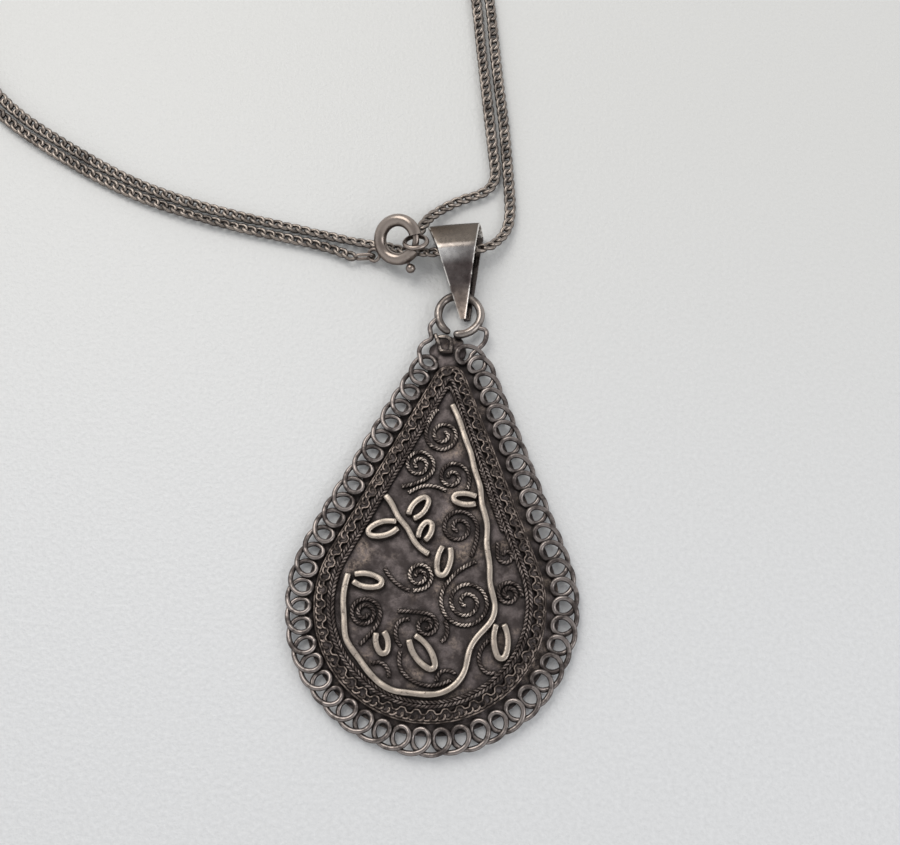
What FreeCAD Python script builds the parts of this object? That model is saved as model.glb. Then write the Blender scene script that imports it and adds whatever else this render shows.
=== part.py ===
import FreeCAD, Part
import math
import os
from FreeCAD import Placement, Rotation, Vector

# Silver filigree teardrop pendant on a curb chain with a spring ring clasp.
# Millimetres, +Z up. The pendant lies face up on the plane z = 0 with its long axis along Y.
# Points are written in the pendant's own plan: x from its axis of symmetry, y from its lowest rim
# point. save() moves every solid so that the pendant and bail together are centred on the origin.

# ---- driving dimensions -------------------------------------------------------------------
PENDANT_HEIGHT = 47.6       # over the wire loops, without the hanging ring
BELLY_R = 15.9              # round lower end of the teardrop, over the loops
APEX_R = 5.2                # blunt top of the teardrop, over the loops
SHEET = 0.5                 # thickness of the silver sheet
LOOP_OD = 3.0               # one wire loop of the rim
LOOP_WIRE = 0.5
LOOP_COUNT = 52
LOOP_THICK = 0.8            # two crossing wires, pressed a little flat
RIM_START = 1.9             # first loop, clockwise from the apex along the loops' centres
RIM_END = 3.55              # last loop, anticlockwise from the apex
EDGE_IN = 2.1               # outer edge of the plate, under the loops, measured in from the rim
FLANGE_IN = 3.2             # where the flat flange ends
FIELD_IN = 4.95             # where the raised field begins
INNER_X = -0.22             # the field and its borders sit a little to the left of the rim
FIELD_Z = 1.1               # top of the raised field
SMALLEST_APEX = 0.4         # the inner borders keep at least this bend at the apex

RING_OD = 6.0
RING_WIRE = 1.0
RING_CENTRE = Vector(0.2, 50.2, 1.1)

BAIL_LENGTH = 11.5
BAIL_TILT = 9.9             # degrees that the bail leans to the left of the pendant's axis
BAIL_TIP = Vector(0.65, 49.75, 0)
BAIL_SHEET = 0.4
BAIL_SIDE = [(0, 0.45), (0, 1.15), (8.2, 4.2), (11.5, 3.3), (11.1, 0.05), (1.4, 0.05)]
BAIL_SIDE_BENDS = [0.15, 0.15, 0.7, 0.8, 0.9, 0.3]
BAIL_EYE = [(1.75, 0.55), (1.75, 1.48), (8.15, 3.76), (11.05, 2.95), (10.7, 0.45)]
BAIL_EYE_BENDS = [0.1, 0.1, 0.4, 0.5, 0.5]
BAIL_HALF_WIDTHS = [(0, 0.45), (8.2, 2.37), (11.5, 3.15)]
PASSAGE = 8.4               # from the bail's tip to the chain that runs through it
PASSAGE_Z = 2.2

CHAIN_D = 1.3               # width over the curb links
CHAIN_Z = CHAIN_D / 2       # a strand that lies on the plane

CLASP_CENTRE = Vector(-7.8, 58.55, 3.0)
CLASP_R = 2.3               # middle of the spring ring's tube
CLASP_TUBE = 1.5
CLASP_BORE = 1.0
CLASP_SLOPE_X = 0.364       # rise of the spring ring's plane to the right
CLASP_SLOPE_Y = 0.554       # and away from the pendant
GAP_FROM = -36.0            # opening of the spring ring, degrees from +X in its own plane
GAP_TO = 8.0
BOLT_D = 0.8
BOLT_TAIL = -82.0
BOLT_NOSE = 14.0
KNOB_AT = -70.0
KNOB_TRAVEL = 45.0
END_RING_OD = 3.2
END_RING_WIRE = 0.55
END_RING_AT = -13.0         # where the end ring hangs on the bolt
END_RING_LEAN = 32.0        # degrees that it is turned up from square across the bolt

KNOB_SLOT = 0.5
KNOB_PIN = 0.4
KNOB_BALL = 1.15
KNOB_REACH = 3.75           # from the clasp's centre to the middle of the knob
SPRING_D = 0.9
SPRING_END = -174.0         # blind end of the bore behind the spring
LUG_AT = -155.0
LUG_OD = 1.8
LUG_WIRE = 0.4
LUG_REACH = 3.6
TAG_LENGTH = 2.7
TAG_HEIGHT = 1.4
TAG_WIRE = 0.4
TAG_DROP = -0.28            # from the middle of the lug to the middle of the tag link
TAG_HEADING = 8.0           # degrees that the tag link is turned from lying along X

SCROLL_WIRE = 0.5
VINE_WIDTH = 0.65
VINE_HEIGHT = 0.75
LEAF_TIP = 0.47             # bend at a leaf's tip, along the middle of the wire
SIDE_ROPE_IN = 5.8

TOTAL = 61.54               # from the lowest loop to the bail's upper right corner
UP = Vector(0, 0, 1)

# ---- the teardrop outline -----------------------------------------------------------------
LEAN = math.asin((BELLY_R - APEX_R) / (PENDANT_HEIGHT - APEX_R - BELLY_R))   # of the straight sides


def outline_circles(inset):
    """Belly radius, apex radius and apex centre height of the outline moved in by inset."""
    belly = BELLY_R - inset
    apex = max(APEX_R - inset, SMALLEST_APEX)
    return belly, apex, BELLY_R + (belly - apex) / math.sin(LEAN)


def polar(centre_y, radius, degrees, z):
    a = math.radians(degrees)
    return Vector(radius * math.cos(a), centre_y + radius * math.sin(a), z)


def outline(inset, z):
    """Closed wire: belly arc, straight side, apex arc, straight side."""
    belly, apex, apex_y = outline_circles(inset)
    lean = math.degrees(LEAN)
    right = polar(BELLY_R, belly, lean, z)
    left = polar(BELLY_R, belly, 180 - lean, z)
    top_left = polar(apex_y, apex, 180 - lean, z)
    top_right = polar(apex_y, apex, lean, z)
    edges = [
        Part.Arc(left, polar(BELLY_R, belly, -90, z), right).toShape(),
        Part.LineSegment(right, top_right).toShape(),
        Part.Arc(top_right, polar(apex_y, apex, 90, z), top_left).toShape(),
        Part.LineSegment(top_left, left).toShape(),
    ]
    return Part.Wire(edges)


def inner_outline(inset, z):
    """The outline as the field and its borders follow it."""
    wire = outline(inset, z)
    wire.translate(Vector(INNER_X, 0, 0))
    return wire


SLOPE = (FIELD_Z - SHEET) / (FIELD_IN - FLANGE_IN)


def slope_z(inset):
    """Height of the plate's upper surface at this distance in from the rim."""
    share = (inset - FLANGE_IN) / (FIELD_IN - FLANGE_IN)
    return SHEET + (FIELD_Z - SHEET) * min(max(share, 0), 1)


# ---- wires drawn on the plate -------------------------------------------------------------
def drawn_path(start, heading, moves, z):
    """Tangent arcs and lines in a plane: each move is (length, degrees turned to the left)."""
    at = Vector(start[0], start[1], z)
    angle = math.radians(heading)
    edges = []
    for length, turn in moves:
        if turn == 0:
            end = at + Vector(math.cos(angle), math.sin(angle), 0) * length
            edges.append(Part.LineSegment(at, end).toShape())
        else:
            bend = math.radians(turn)
            radius = length / bend
            centre = at + Vector(-math.sin(angle), math.cos(angle), 0) * radius
            mid = centre + Vector(math.sin(angle + bend / 2), -math.cos(angle + bend / 2), 0) * radius
            end = centre + Vector(math.sin(angle + bend), -math.cos(angle + bend), 0) * radius
            edges.append(Part.Arc(at, mid, end).toShape())
            angle += bend
        at = end
    return Part.Wire(edges)


def curved_path(points, z):
    """Smooth path drawn by its control points."""
    curve = Part.BSplineCurve()
    curve.buildFromPoles([Vector(x, y, z) for x, y in points], False, 3)
    return Part.Wire([curve.toShape()])


def curl(outer, inner, quarters, side=1):
    """Moves of a spiral whose radius shrinks from outer to inner; side 1 turns left."""
    moves = []
    for i in range(quarters):
        radius = outer + (inner - outer) * i / max(quarters - 1, 1)
        moves.append((radius * math.pi / 2, 90 * side))
    return moves


def leaf(length, bulge):
    """Moves round a leaf: out along one edge, round its tip and back. An edge turns 2 * bulge."""
    half = math.radians(bulge)
    edge = length * half / math.sin(half)
    return [(edge, -2 * bulge), (LEAF_TIP * (math.pi - 2 * half), 2 * bulge - 180), (edge, -2 * bulge)]


def placed_profile(wire, at, heading):
    """Turn a profile drawn in (across, up) so that it stands square across the path's start."""
    wire = wire.copy()
    turn = Rotation(UP, math.degrees(heading) - 90).multiply(Rotation(Vector(1, 0, 0), 90))
    wire.Placement = Placement(at, turn).multiply(wire.Placement)
    return wire


def soldered_round(diameter, sink=0.05):
    """Round wire with the small flat that solder fills, in (across, up), flat at up = 0."""
    r = diameter / 2
    middle = r - sink
    half = math.sqrt(r * r - middle * middle)
    left = Vector(-half, 0, 0)
    right = Vector(half, 0, 0)
    arc = Part.Arc(right, Vector(0, middle + r, 0), left)
    return Part.Wire([Part.LineSegment(left, right).toShape(), arc.toShape()])


def flat_wire(width, height, edge=0.18):
    """Rectangular wire with its two upper edges worn round, in (across, up)."""
    w = width / 2
    h = height
    e = edge
    k = e * (1 - math.sqrt(0.5))
    p = [Vector(-w, 0, 0), Vector(w, 0, 0), Vector(w, h - e, 0), Vector(w - e, h, 0),
         Vector(-w + e, h, 0), Vector(-w, h - e, 0)]
    edges = [
        Part.LineSegment(p[0], p[1]).toShape(),
        Part.LineSegment(p[1], p[2]).toShape(),
        Part.Arc(p[2], Vector(w - k, h - k, 0), p[3]).toShape(),
        Part.LineSegment(p[3], p[4]).toShape(),
        Part.Arc(p[4], Vector(-w + k, h - k, 0), p[5]).toShape(),
        Part.LineSegment(p[5], p[0]).toShape(),
    ]
    return Part.Wire(edges)


def sweep(path, profile):
    solid = path.makePipeShell([profile], True, False)
    if not solid.isValid():
        raise RuntimeError("invalid sweep")
    return Part.Solid(solid.Shells[0]) if solid.ShapeType != "Solid" else solid


def field_wire(start, heading, moves, profile):
    path = drawn_path(start, heading, moves, FIELD_Z)
    return sweep(path, placed_profile(profile, Vector(start[0], start[1], FIELD_Z),
                                      math.radians(heading)))


def curved_field_wire(points, profile):
    (x, y), (next_x, next_y) = points[0], points[1]
    heading = math.atan2(next_y - y, next_x - x)
    return sweep(curved_path(points, FIELD_Z), placed_profile(profile, Vector(x, y, FIELD_Z), heading))


def border(inset, profile):
    """A closed border wire at one distance in from the rim, lying on the plate."""
    z = slope_z(inset)
    path = inner_outline(inset, z)
    lean = math.degrees(LEAN)
    start = polar(BELLY_R, BELLY_R - inset, 180 - lean, z) + Vector(INNER_X, 0, 0)
    if FLANGE_IN < inset < FIELD_IN:
        profile.rotate(Vector(0, 0, 0), UP, math.degrees(math.atan(-SLOPE)))
    return sweep(path, placed_profile(profile, start, math.radians(270 - lean)))


# ---- the plate, its borders and the rim ---------------------------------------------------
def frustum(inset_low, z_low, inset_high, z_high):
    low = inner_outline(inset_low, z_low)
    return Part.makeLoft([low, inner_outline(inset_high, z_high)], True, True)


def base_plate():
    """One sheet: a flat flange, a sloping border and a raised field, open underneath."""
    flange = Part.Face(outline(EDGE_IN, 0)).extrude(UP * SHEET)
    raised = frustum(FLANGE_IN, SHEET, FIELD_IN, FIELD_Z)
    hollow = frustum(FLANGE_IN + SHEET, 0, FIELD_IN + SHEET, FIELD_Z - SHEET)
    return flange.fuse(raised).removeSplitter().cut(hollow)


def rim_places():
    """Centres of the rim's loops, clockwise from the right of the apex to its left."""
    inset = LOOP_OD / 2
    belly, apex, apex_y = outline_circles(inset)
    side = (apex_y - BELLY_R) * math.cos(LEAN)
    apex_turn = math.pi / 2 - LEAN
    belly_turn = math.pi + 2 * LEAN
    total = 2 * apex_turn * apex + 2 * side + belly_turn * belly
    first = RIM_START
    pitch = (total - RIM_START - RIM_END) / (LOOP_COUNT - 1)
    places = []
    for i in range(LOOP_COUNT):
        places.append(rim_point(first + i * pitch, belly, apex, apex_y, side))
    return places


def rim_point(s, belly, apex, apex_y, side):
    """Point on the loops' centre line at the length s clockwise from the apex."""
    apex_run = (math.pi / 2 - LEAN) * apex
    belly_run = (math.pi + 2 * LEAN) * belly
    z = SHEET
    if s <= apex_run:
        return polar(apex_y, apex, 90 - math.degrees(s / apex), z)
    s -= apex_run
    if s <= side:
        start = polar(apex_y, apex, math.degrees(LEAN), z)
        return start + Vector(math.sin(LEAN), -math.cos(LEAN), 0) * s
    s -= side
    if s <= belly_run:
        return polar(BELLY_R, belly, math.degrees(LEAN - s / belly), z)
    s -= belly_run
    if s <= side:
        start = polar(BELLY_R, belly, 180 - math.degrees(LEAN), z)
        return start + Vector(math.sin(LEAN), math.cos(LEAN), 0) * s
    s -= side
    return polar(apex_y, apex, 180 - math.degrees(LEAN + s / apex), z)


def rim_coil():
    """The coiled rim wire as one lace of overlapping flat loops, each open in the middle."""
    rings = []
    for place in rim_places():
        disc = Part.makeCylinder(LOOP_OD / 2, LOOP_THICK, place)
        hole = Part.makeCylinder(LOOP_OD / 2 - LOOP_WIRE, LOOP_THICK, place)
        rings.append(disc.cut(hole))
    return rings[0].multiFuse(rings[1:]).removeSplitter()


BORDERS = {
    "guard_wire": (3.4, soldered_round(0.3, 0.03)),
    "granular_twist": (3.87, soldered_round(0.62)),
    "wave_ribbon": (4.42, flat_wire(0.4, 0.5, 0.1)),
    "field_rope": (5.15, soldered_round(0.68)),
}

# ---- twisted wire scrolls: start point, heading, moves --------------------------------------
SCROLLS = {
    "apex_scroll": ((-1.35, 38.05), -126, [(2.9, 30)] + curl(1.85, 0.5, 7)),
    "upper_left_scroll": ((-4.4, 28.65), 12, [(2.6, 22), (1.4, 40)] + curl(1.62, 0.45, 7)),
    "upper_right_scroll": ((2.8, 28.95), 72, [(1.5, 30)] + curl(1.7, 1.1, 3) + curl(0.85, 0.5, 3)),
    "middle_scroll": ((3.8, 21.4), 68, [(2.4, 22), (0.6, 0)] + curl(1.95, 0.5, 7)),
    "right_small_scroll": ((6.6, 23.1), -88, [(1.3, 0)] + curl(0.88, 0.4, 4)),
    "right_curl": ((9.6, 17.5), 100, [(0.6, 15)] + curl(1.3, 0.4, 7)),
    "centre_small_scroll": ((-2.05, 17.1), 5, [(1.0, 20)] + curl(1.42, 0.4, 7)),
    "big_spiral": ((4.3, 20.8), 205, [(4.0, 35), (1.8, 30)] + curl(2.62, 0.5, 9)),
    "left_scroll": ((-7.2, 10.9), 48, [(2.3, 10), (1.5, 32)] + curl(1.62, 0.45, 8)),
    "lower_scroll": ((-3.5, 14.75), 4, [(3.1, -8)] + curl(1.2, 0.45, 6, -1)),
}

# ---- shorter twisted wires, by their control points ------------------------------------------
ROPES = {
    "upper_arch": [(-3.6, 28.0), (-2.6, 28.8), (-1.4, 29.1), (-0.4, 28.9), (0.4, 28.6)],
    "link_arc": [(-5.4, 19.2), (-4.6, 18.0), (-3.5, 17.3), (-2.6, 17.1)],
    "lower_left_hook": [(-5.7, 9.0), (-4.9, 9.5), (-3.9, 8.9), (-3.8, 7.8)],
    "lower_arc": [(-2.9, 10.4), (-3.1, 9.0), (-2.0, 7.8), (-0.3, 7.1), (1.4, 7.15), (2.6, 7.9)],
    "lower_hook": [(1.2, 7.8), (1.2, 8.8), (2.1, 9.2), (3.1, 8.7)],
    "lower_right_crescent": [(6.3, 12.4), (5.3, 11.3), (5.4, 9.6), (6.4, 8.8), (7.3, 9.1)],
    "low_left_rope": [(-2.3, 14.0), (-3.4, 13.9), (-3.8, 12.6), (-3.4, 11.5), (-2.9, 11.1)],
    "low_right_rope": [(1.6, 14.0), (2.1, 13.2), (1.9, 12.2), (1.4, 11.9)],
}

# ---- flat bright wires: a generic vine -------------------------------------------------------
STEMS = {
    "vine_stem": [(0.35, 38.6), (1.4, 36.8), (1.9, 35.0), (3.0, 33.0), (3.3, 31.2), (4.35, 29.2),
                  (4.4, 27.2), (5.5, 25.0), (5.2, 22.8), (6.0, 20.6), (5.9, 18.4), (6.9, 16.4),
                  (6.7, 14.4), (5.3, 13.0), (4.2, 11.2), (4.3, 9.0), (3.0, 7.0), (0.9, 6.1),
                  (-1.6, 6.3), (-3.6, 6.2), (-5.9, 7.8), (-7.2, 9.5), (-9.0, 11.2), (-9.1, 13.6),
                  (-9.75, 16.0), (-9.3, 18.2)],
    "vine_fan_stem": [(-0.9, 21.2), (-2.4, 21.9), (-3.2, 24.0), (-4.7, 24.9), (-5.2, 26.4), (-6.1, 27.3)],
}
VINE = {
    "vine_left_leaf": ((-8.5, 18.3), -6 + 24, leaf(2.7, 24)),
    "vine_low_leaf": ((-1.4, 12.2), -50 + 26, leaf(3.6, 26)),
    "vine_right_leaf": ((7.9, 14.1), -84 + 22, leaf(3.2, 22)),
    "vine_upper_leaf": ((3.75, 27.2), 178 + 20, leaf(2.1, 20)),
    "vine_lower_leaf": ((-4.75, 12.3), -74 + 24, leaf(1.9, 24)),
    "vine_middle_leaf": ((1.47, 21.97), -96 + 22, leaf(2.8, 22)),
    "vine_fan_top_leaf": ((-3.4, 25.5), 55 + 28, leaf(2.4, 28)),
    "vine_fan_left_leaf": ((-4.5, 23.7), 200 + 28, leaf(2.9, 28)),
    "vine_fan_right_leaf": ((-2.1, 23.0), 70 + 24, leaf(1.7, 24)),
}


def straight_side_wire(inset, y_low, y_high, profile):
    """A wire along the right straight side, between two heights."""
    belly, apex, apex_y = outline_circles(inset)
    foot = polar(BELLY_R, belly, math.degrees(LEAN), FIELD_Z) + Vector(INNER_X, 0, 0)
    x = foot.x - (y_high - foot.y) * math.tan(LEAN)
    length = (y_high - y_low) / math.cos(LEAN)
    return field_wire((x, y_high), math.degrees(LEAN) - 90, [(length, 0)], profile)


# ---- pendant ring, its strap and the two ends of the rim wire --------------------------------
def pendant_ring():
    """Round wire ring, open for a millimetre at the bottom between -120 and -92 degrees."""
    middle = (RING_OD - RING_WIRE) / 2
    ring = Part.makeTorus(middle, RING_WIRE / 2, RING_CENTRE, UP, 0, 360, 332)
    ring.rotate(RING_CENTRE, UP, -92)
    return ring


def hanger_strap():
    """Small window frame of flat wire that ties the ring's ends to the plate's apex."""
    frame = Part.makeBox(1.7, 2.1, 0.6, Vector(-1.5, 45.1, SHEET))
    window = Part.makeBox(0.8, 0.9, 0.6, Vector(-1.05, 45.7, SHEET))
    return frame.cut(window)


def tube_path(points):
    """Edges of the route, the first heading and the radii of its bends."""
    edges = []
    radii = []
    at = points[0]
    for i in range(1, len(points) - 1):
        before = points[i] - points[i - 1]
        after = points[i + 1] - points[i]
        turn = before.getAngle(after)
        cut = 0.45 * min(before.Length, after.Length)
        radii.append(cut / math.tan(turn / 2))
        a = points[i] - before.normalize() * cut
        b = points[i] + after.normalize() * cut
        middle = (a + b) * 0.5
        inward = (middle - points[i]).normalize()
        sagitta = radii[-1] / math.cos(turn / 2) - radii[-1]
        edges.append(Part.LineSegment(at, a).toShape())
        edges.append(Part.Arc(a, points[i] + inward * sagitta, b).toShape())
        at = b
    edges.append(Part.LineSegment(at, points[-1]).toShape())
    heading = points[1] - points[0]
    return edges, heading, radii


def bent_tube(points, diameter):
    """Round tube along straight runs joined by tangent arcs, its path's length and its bends."""
    edges, heading, radii = tube_path(points)
    path = Part.Wire(edges)
    circle = Part.Wire([Part.Circle(points[0], heading, diameter / 2).toShape()])
    return sweep(path, circle), path.Length, radii


RIM_WIRE_ENDS = {
    "rim_wire_start": [Vector(3.25, 50.0, 1.1), Vector(4.15, 49.85, 1.1), Vector(3.5, 46.9, 1.0)],
    "rim_wire_end": [Vector(-2.55, 48.55, 1.1), Vector(-3.1, 47.3, 1.0), Vector(-2.0, 46.6, 0.95)],
}


# ---- bail ------------------------------------------------------------------------------------
def rounded_polygon(points, bends):
    """Closed wire through (along, up) points with each corner rounded, in the XZ plane."""
    count = len(points)
    corners = [Vector(p[0], 0, p[1]) for p in points]
    edges = []
    joins = []
    for i in range(count):
        to_last = (corners[i - 1] - corners[i]).normalize()
        to_next = (corners[(i + 1) % count] - corners[i]).normalize()
        half = to_last.getAngle(to_next) / 2
        cut = bends[i] / math.tan(half)
        inward = (to_last + to_next).normalize()
        middle = corners[i] + inward * (bends[i] / math.sin(half) - bends[i])
        joins.append((corners[i] + to_last * cut, middle, corners[i] + to_next * cut))
    for i in range(count):
        start, middle, end = joins[i]
        edges.append(Part.Arc(start, middle, end).toShape())
        edges.append(Part.LineSegment(end, joins[(i + 1) % count][0]).toShape())
    return Part.Wire(edges)


def bail():
    """Tapered sheet folded over the chain, its two tips pressed together round the ring."""
    width = 2 * BAIL_HALF_WIDTHS[-1][1]
    outer = Part.Face(rounded_polygon(BAIL_SIDE, BAIL_SIDE_BENDS)).extrude(Vector(0, width, 0))
    eye = Part.Face(rounded_polygon(BAIL_EYE, BAIL_EYE_BENDS)).extrude(Vector(0, width, 0))
    band = outer.cut(eye)
    band.translate(Vector(0, -width / 2, 0))
    side = [Vector(s, half, 0) for s, half in BAIL_HALF_WIDTHS]
    mirrored = [Vector(v.x, -v.y, 0) for v in reversed(side)]
    plan = Part.Face(Part.makePolygon(side + mirrored + [side[0]])).extrude(UP * 5)
    shape = band.common(plan)
    shape.Placement = Placement(BAIL_TIP, Rotation(UP, 90 + BAIL_TILT))
    return shape


# ---- chain -----------------------------------------------------------------------------------
LEFT_OUTER = [(-13.15, 56.9, 0.9), (-15.4, 57.85), (-18.9, 58.55), (-23.4, 59.2), (-28.2, 60.0),
              (-34.5, 61.3), (-42.0, 63.6), (-50.5, 67.6), (-59.6, 72.9)]
AROUND_OUTER = [(-66.8, 80.0), (-71.3, 90.5), (-70.8, 102.5), (-65.2, 113.3), (-56.0, 121.5),
                (-44.2, 126.6), (-31.3, 127.6), (-18.7, 124.2), (-8.0, 116.6), (-1.6, 106.3)]
TOP_OUTER = [(0.6, 96.0), (1.55, 89.6), (2.5, 83.6), (3.55, 78.0), (4.35, 72.4), (5.0, 67.6),
             (5.35, 64.3), (5.0, 61.9, 0.8), (3.9, 60.0, 1.4)]
UNDER_CLASP = [(-7.4, 58.25, 1.0)]
LEFT_INNER = [(-9.8, 58.85), (-12.4, 58.98), (-15.7, 59.5), (-19.6, 60.15), (-23.6, 60.8),
              (-28.2, 61.5), (-34.3, 62.8), (-41.4, 65.0), (-49.7, 69.0), (-58.9, 74.3)]
AROUND_INNER = [(-65.5, 81.2), (-69.7, 91.0), (-69.2, 102.2), (-63.9, 112.3), (-55.2, 120.1),
                (-43.9, 125.0), (-31.6, 126.0), (-19.4, 122.7), (-9.3, 115.5), (-3.2, 105.6)]
TOP_INNER = [(-1.15, 95.9), (-0.15, 89.2), (0.9, 83.2), (1.85, 77.6), (2.7, 72.6), (3.3, 69.4),
             (2.2, 67.2), (-1.0, 65.9), (-3.6, 63.9, 0.9), (-4.9, 61.9, 1.9), (-5.42, 60.0, 2.6)]


def passage_points():
    """Both ends of the straight stretch that runs through the bail, right end first."""
    lean = math.radians(BAIL_TILT)
    centre = BAIL_TIP + Vector(-math.sin(lean), math.cos(lean), 0) * PASSAGE
    across = Vector(math.cos(lean), math.sin(lean), 0)
    centre.z = PASSAGE_Z
    return [centre + across * 3.4, centre - across * 3.4]


def lying(points):
    """Plan points, with their height where they don't lie on the plane."""
    return [Vector(p[0], p[1], p[2] if len(p) > 2 else CHAIN_Z) for p in points]


def chain_route():
    before = lying(LEFT_OUTER + AROUND_OUTER + TOP_OUTER)
    after = lying(UNDER_CLASP + LEFT_INNER + AROUND_INNER + TOP_INNER)
    return before + passage_points() + after


# ---- spring ring clasp, drawn flat and then tilted -------------------------------------------
def clasp_placement():
    across = Vector(1, 0, CLASP_SLOPE_X).normalize()
    normal = Vector(-CLASP_SLOPE_X, -CLASP_SLOPE_Y, 1).normalize()
    return Placement(CLASP_CENTRE, Rotation(across, normal.cross(across), normal, "ZXY"))


def clasp_point(radius, degrees):
    return polar(0, radius, degrees, 0)


def tube_arc(diameter, start, end):
    """Part of a torus round the clasp's centre, from start to end degrees."""
    arc = Part.makeTorus(CLASP_R, diameter / 2, Vector(0, 0, 0), UP, 0, 360, end - start)
    arc.rotate(Vector(0, 0, 0), UP, start)
    return arc


def spring_ring_tube():
    body = tube_arc(CLASP_TUBE, GAP_TO, GAP_FROM + 360)
    bore = tube_arc(CLASP_BORE, SPRING_END, BOLT_NOSE + 3)
    low = KNOB_AT - KNOB_TRAVEL - 6
    sector = Part.makeCylinder(CLASP_R + 1, KNOB_SLOT, Vector(0, 0, -KNOB_SLOT / 2), UP,
                               KNOB_AT + 6 - low)
    core = Part.makeCylinder(CLASP_R, KNOB_SLOT, Vector(0, 0, -KNOB_SLOT / 2))
    slot = sector.cut(core)
    slot.rotate(Vector(0, 0, 0), UP, low)
    return body.cut(bore).cut(slot)


def clasp_spring():
    """Closed-up coil spring behind the bolt, as a sleeve of its outer size."""
    start = SPRING_END + 1
    end = BOLT_TAIL - KNOB_TRAVEL - 2
    return tube_arc(SPRING_D, start, end).cut(tube_arc(SPRING_D / 2, start - 1, end + 1))


def clasp_bolt():
    return tube_arc(BOLT_D, BOLT_TAIL, BOLT_NOSE)


def thumb_knob():
    """Pin with a small ball, standing out of the slot and seated on the bolt."""
    out = clasp_point(1, KNOB_AT)
    pin = Part.makeCylinder(KNOB_PIN / 2, KNOB_REACH - CLASP_R, out * CLASP_R, out)
    ball = Part.makeSphere(KNOB_BALL / 2, out * KNOB_REACH)
    return pin.fuse(ball).cut(clasp_bolt())


def clasp_lug():
    centre = clasp_point(LUG_REACH, LUG_AT)
    ring = Part.makeTorus((LUG_OD - LUG_WIRE) / 2, LUG_WIRE / 2, centre, UP)
    return ring.cut(tube_arc(CLASP_TUBE, LUG_AT - 30, LUG_AT + 30))


def end_ring():
    at = clasp_point(CLASP_R, END_RING_AT)
    lean = math.radians(END_RING_LEAN)
    along = clasp_point(1, END_RING_AT + 90)
    normal = along * math.cos(lean) + UP * math.sin(lean)
    return Part.makeTorus((END_RING_OD - END_RING_WIRE) / 2, END_RING_WIRE / 2, at, normal)


def tag_link():
    """Oblong link on edge between the lug and the chain's first link."""
    lug = clasp_placement().multVec(clasp_point(LUG_REACH, LUG_AT))
    r = TAG_HEIGHT / 2 - TAG_WIRE / 2
    run = TAG_LENGTH - TAG_HEIGHT
    edges = [
        Part.LineSegment(Vector(0, 0, r), Vector(-run, 0, r)).toShape(),
        Part.Arc(Vector(-run, 0, r), Vector(-run - r, 0, 0), Vector(-run, 0, -r)).toShape(),
        Part.LineSegment(Vector(-run, 0, -r), Vector(0, 0, -r)).toShape(),
        Part.Arc(Vector(0, 0, -r), Vector(r, 0, 0), Vector(0, 0, r)).toShape(),
    ]
    section = Part.Wire([Part.Circle(Vector(0, 0, r), Vector(1, 0, 0), TAG_WIRE / 2).toShape()])
    link = sweep(Part.Wire(edges), section)
    link.translate(Vector(-r, 0, TAG_DROP))
    link.rotate(Vector(0, 0, 0), UP, TAG_HEADING)
    link.translate(lug)
    return link


# ---- write every node ------------------------------------------------------------------------
def save(name, shape):
    shape.translate(Vector(0, -TOTAL / 2, 0))
    if not shape.isValid() or shape.Volume <= 0:
        raise RuntimeError(name + " is not a sound solid")
    shape.exportStep("parts/" + name + ".step")


def save_pendant():
    save("base_plate", base_plate())
    save("rim_coil", rim_coil())
    for name, (inset, profile) in BORDERS.items():
        save(name, border(inset, profile))
    save("side_rope", straight_side_wire(SIDE_ROPE_IN, 24.5, 31.3, soldered_round(0.5)))
    for name, (start, heading, moves) in SCROLLS.items():
        save(name, field_wire(start, heading, moves, soldered_round(SCROLL_WIRE)))
    for name, points in ROPES.items():
        save(name, curved_field_wire(points, soldered_round(SCROLL_WIRE)))
    for name, (start, heading, moves) in VINE.items():
        save(name, field_wire(start, heading, moves, flat_wire(VINE_WIDTH, VINE_HEIGHT)))
    for name, points in STEMS.items():
        save(name, curved_field_wire(points, flat_wire(VINE_WIDTH, VINE_HEIGHT)))
    save("pendant_ring", pendant_ring())
    save("hanger_strap", hanger_strap())
    for name, points in RIM_WIRE_ENDS.items():
        save(name, bent_tube(points, LOOP_WIRE)[0])


def save_clasp():
    place = clasp_placement()
    for name, shape in [("spring_ring_tube", spring_ring_tube()), ("clasp_spring", clasp_spring()),
                        ("clasp_bolt", clasp_bolt()), ("thumb_knob", thumb_knob()),
                        ("clasp_lug", clasp_lug()), ("end_ring", end_ring())]:
        shape.Placement = place.multiply(shape.Placement)
        save(name, shape)


def save_chain():
    tube, length, radii = bent_tube(chain_route(), CHAIN_D)
    section = math.pi * CHAIN_D ** 2 / 4
    print("chain length", round(length, 1), "volume share", round(tube.Volume / section / length, 4))
    print("bend radii", [round(r, 1) for r in radii])
    save("chain", tube)
    save("tag_link", tag_link())


os.makedirs("parts", exist_ok=True)
save_pendant()
save("bail", bail())
save_clasp()
save_chain()
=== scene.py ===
import math
import random

import bpy
import numpy as np
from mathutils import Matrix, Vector, noise


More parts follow.
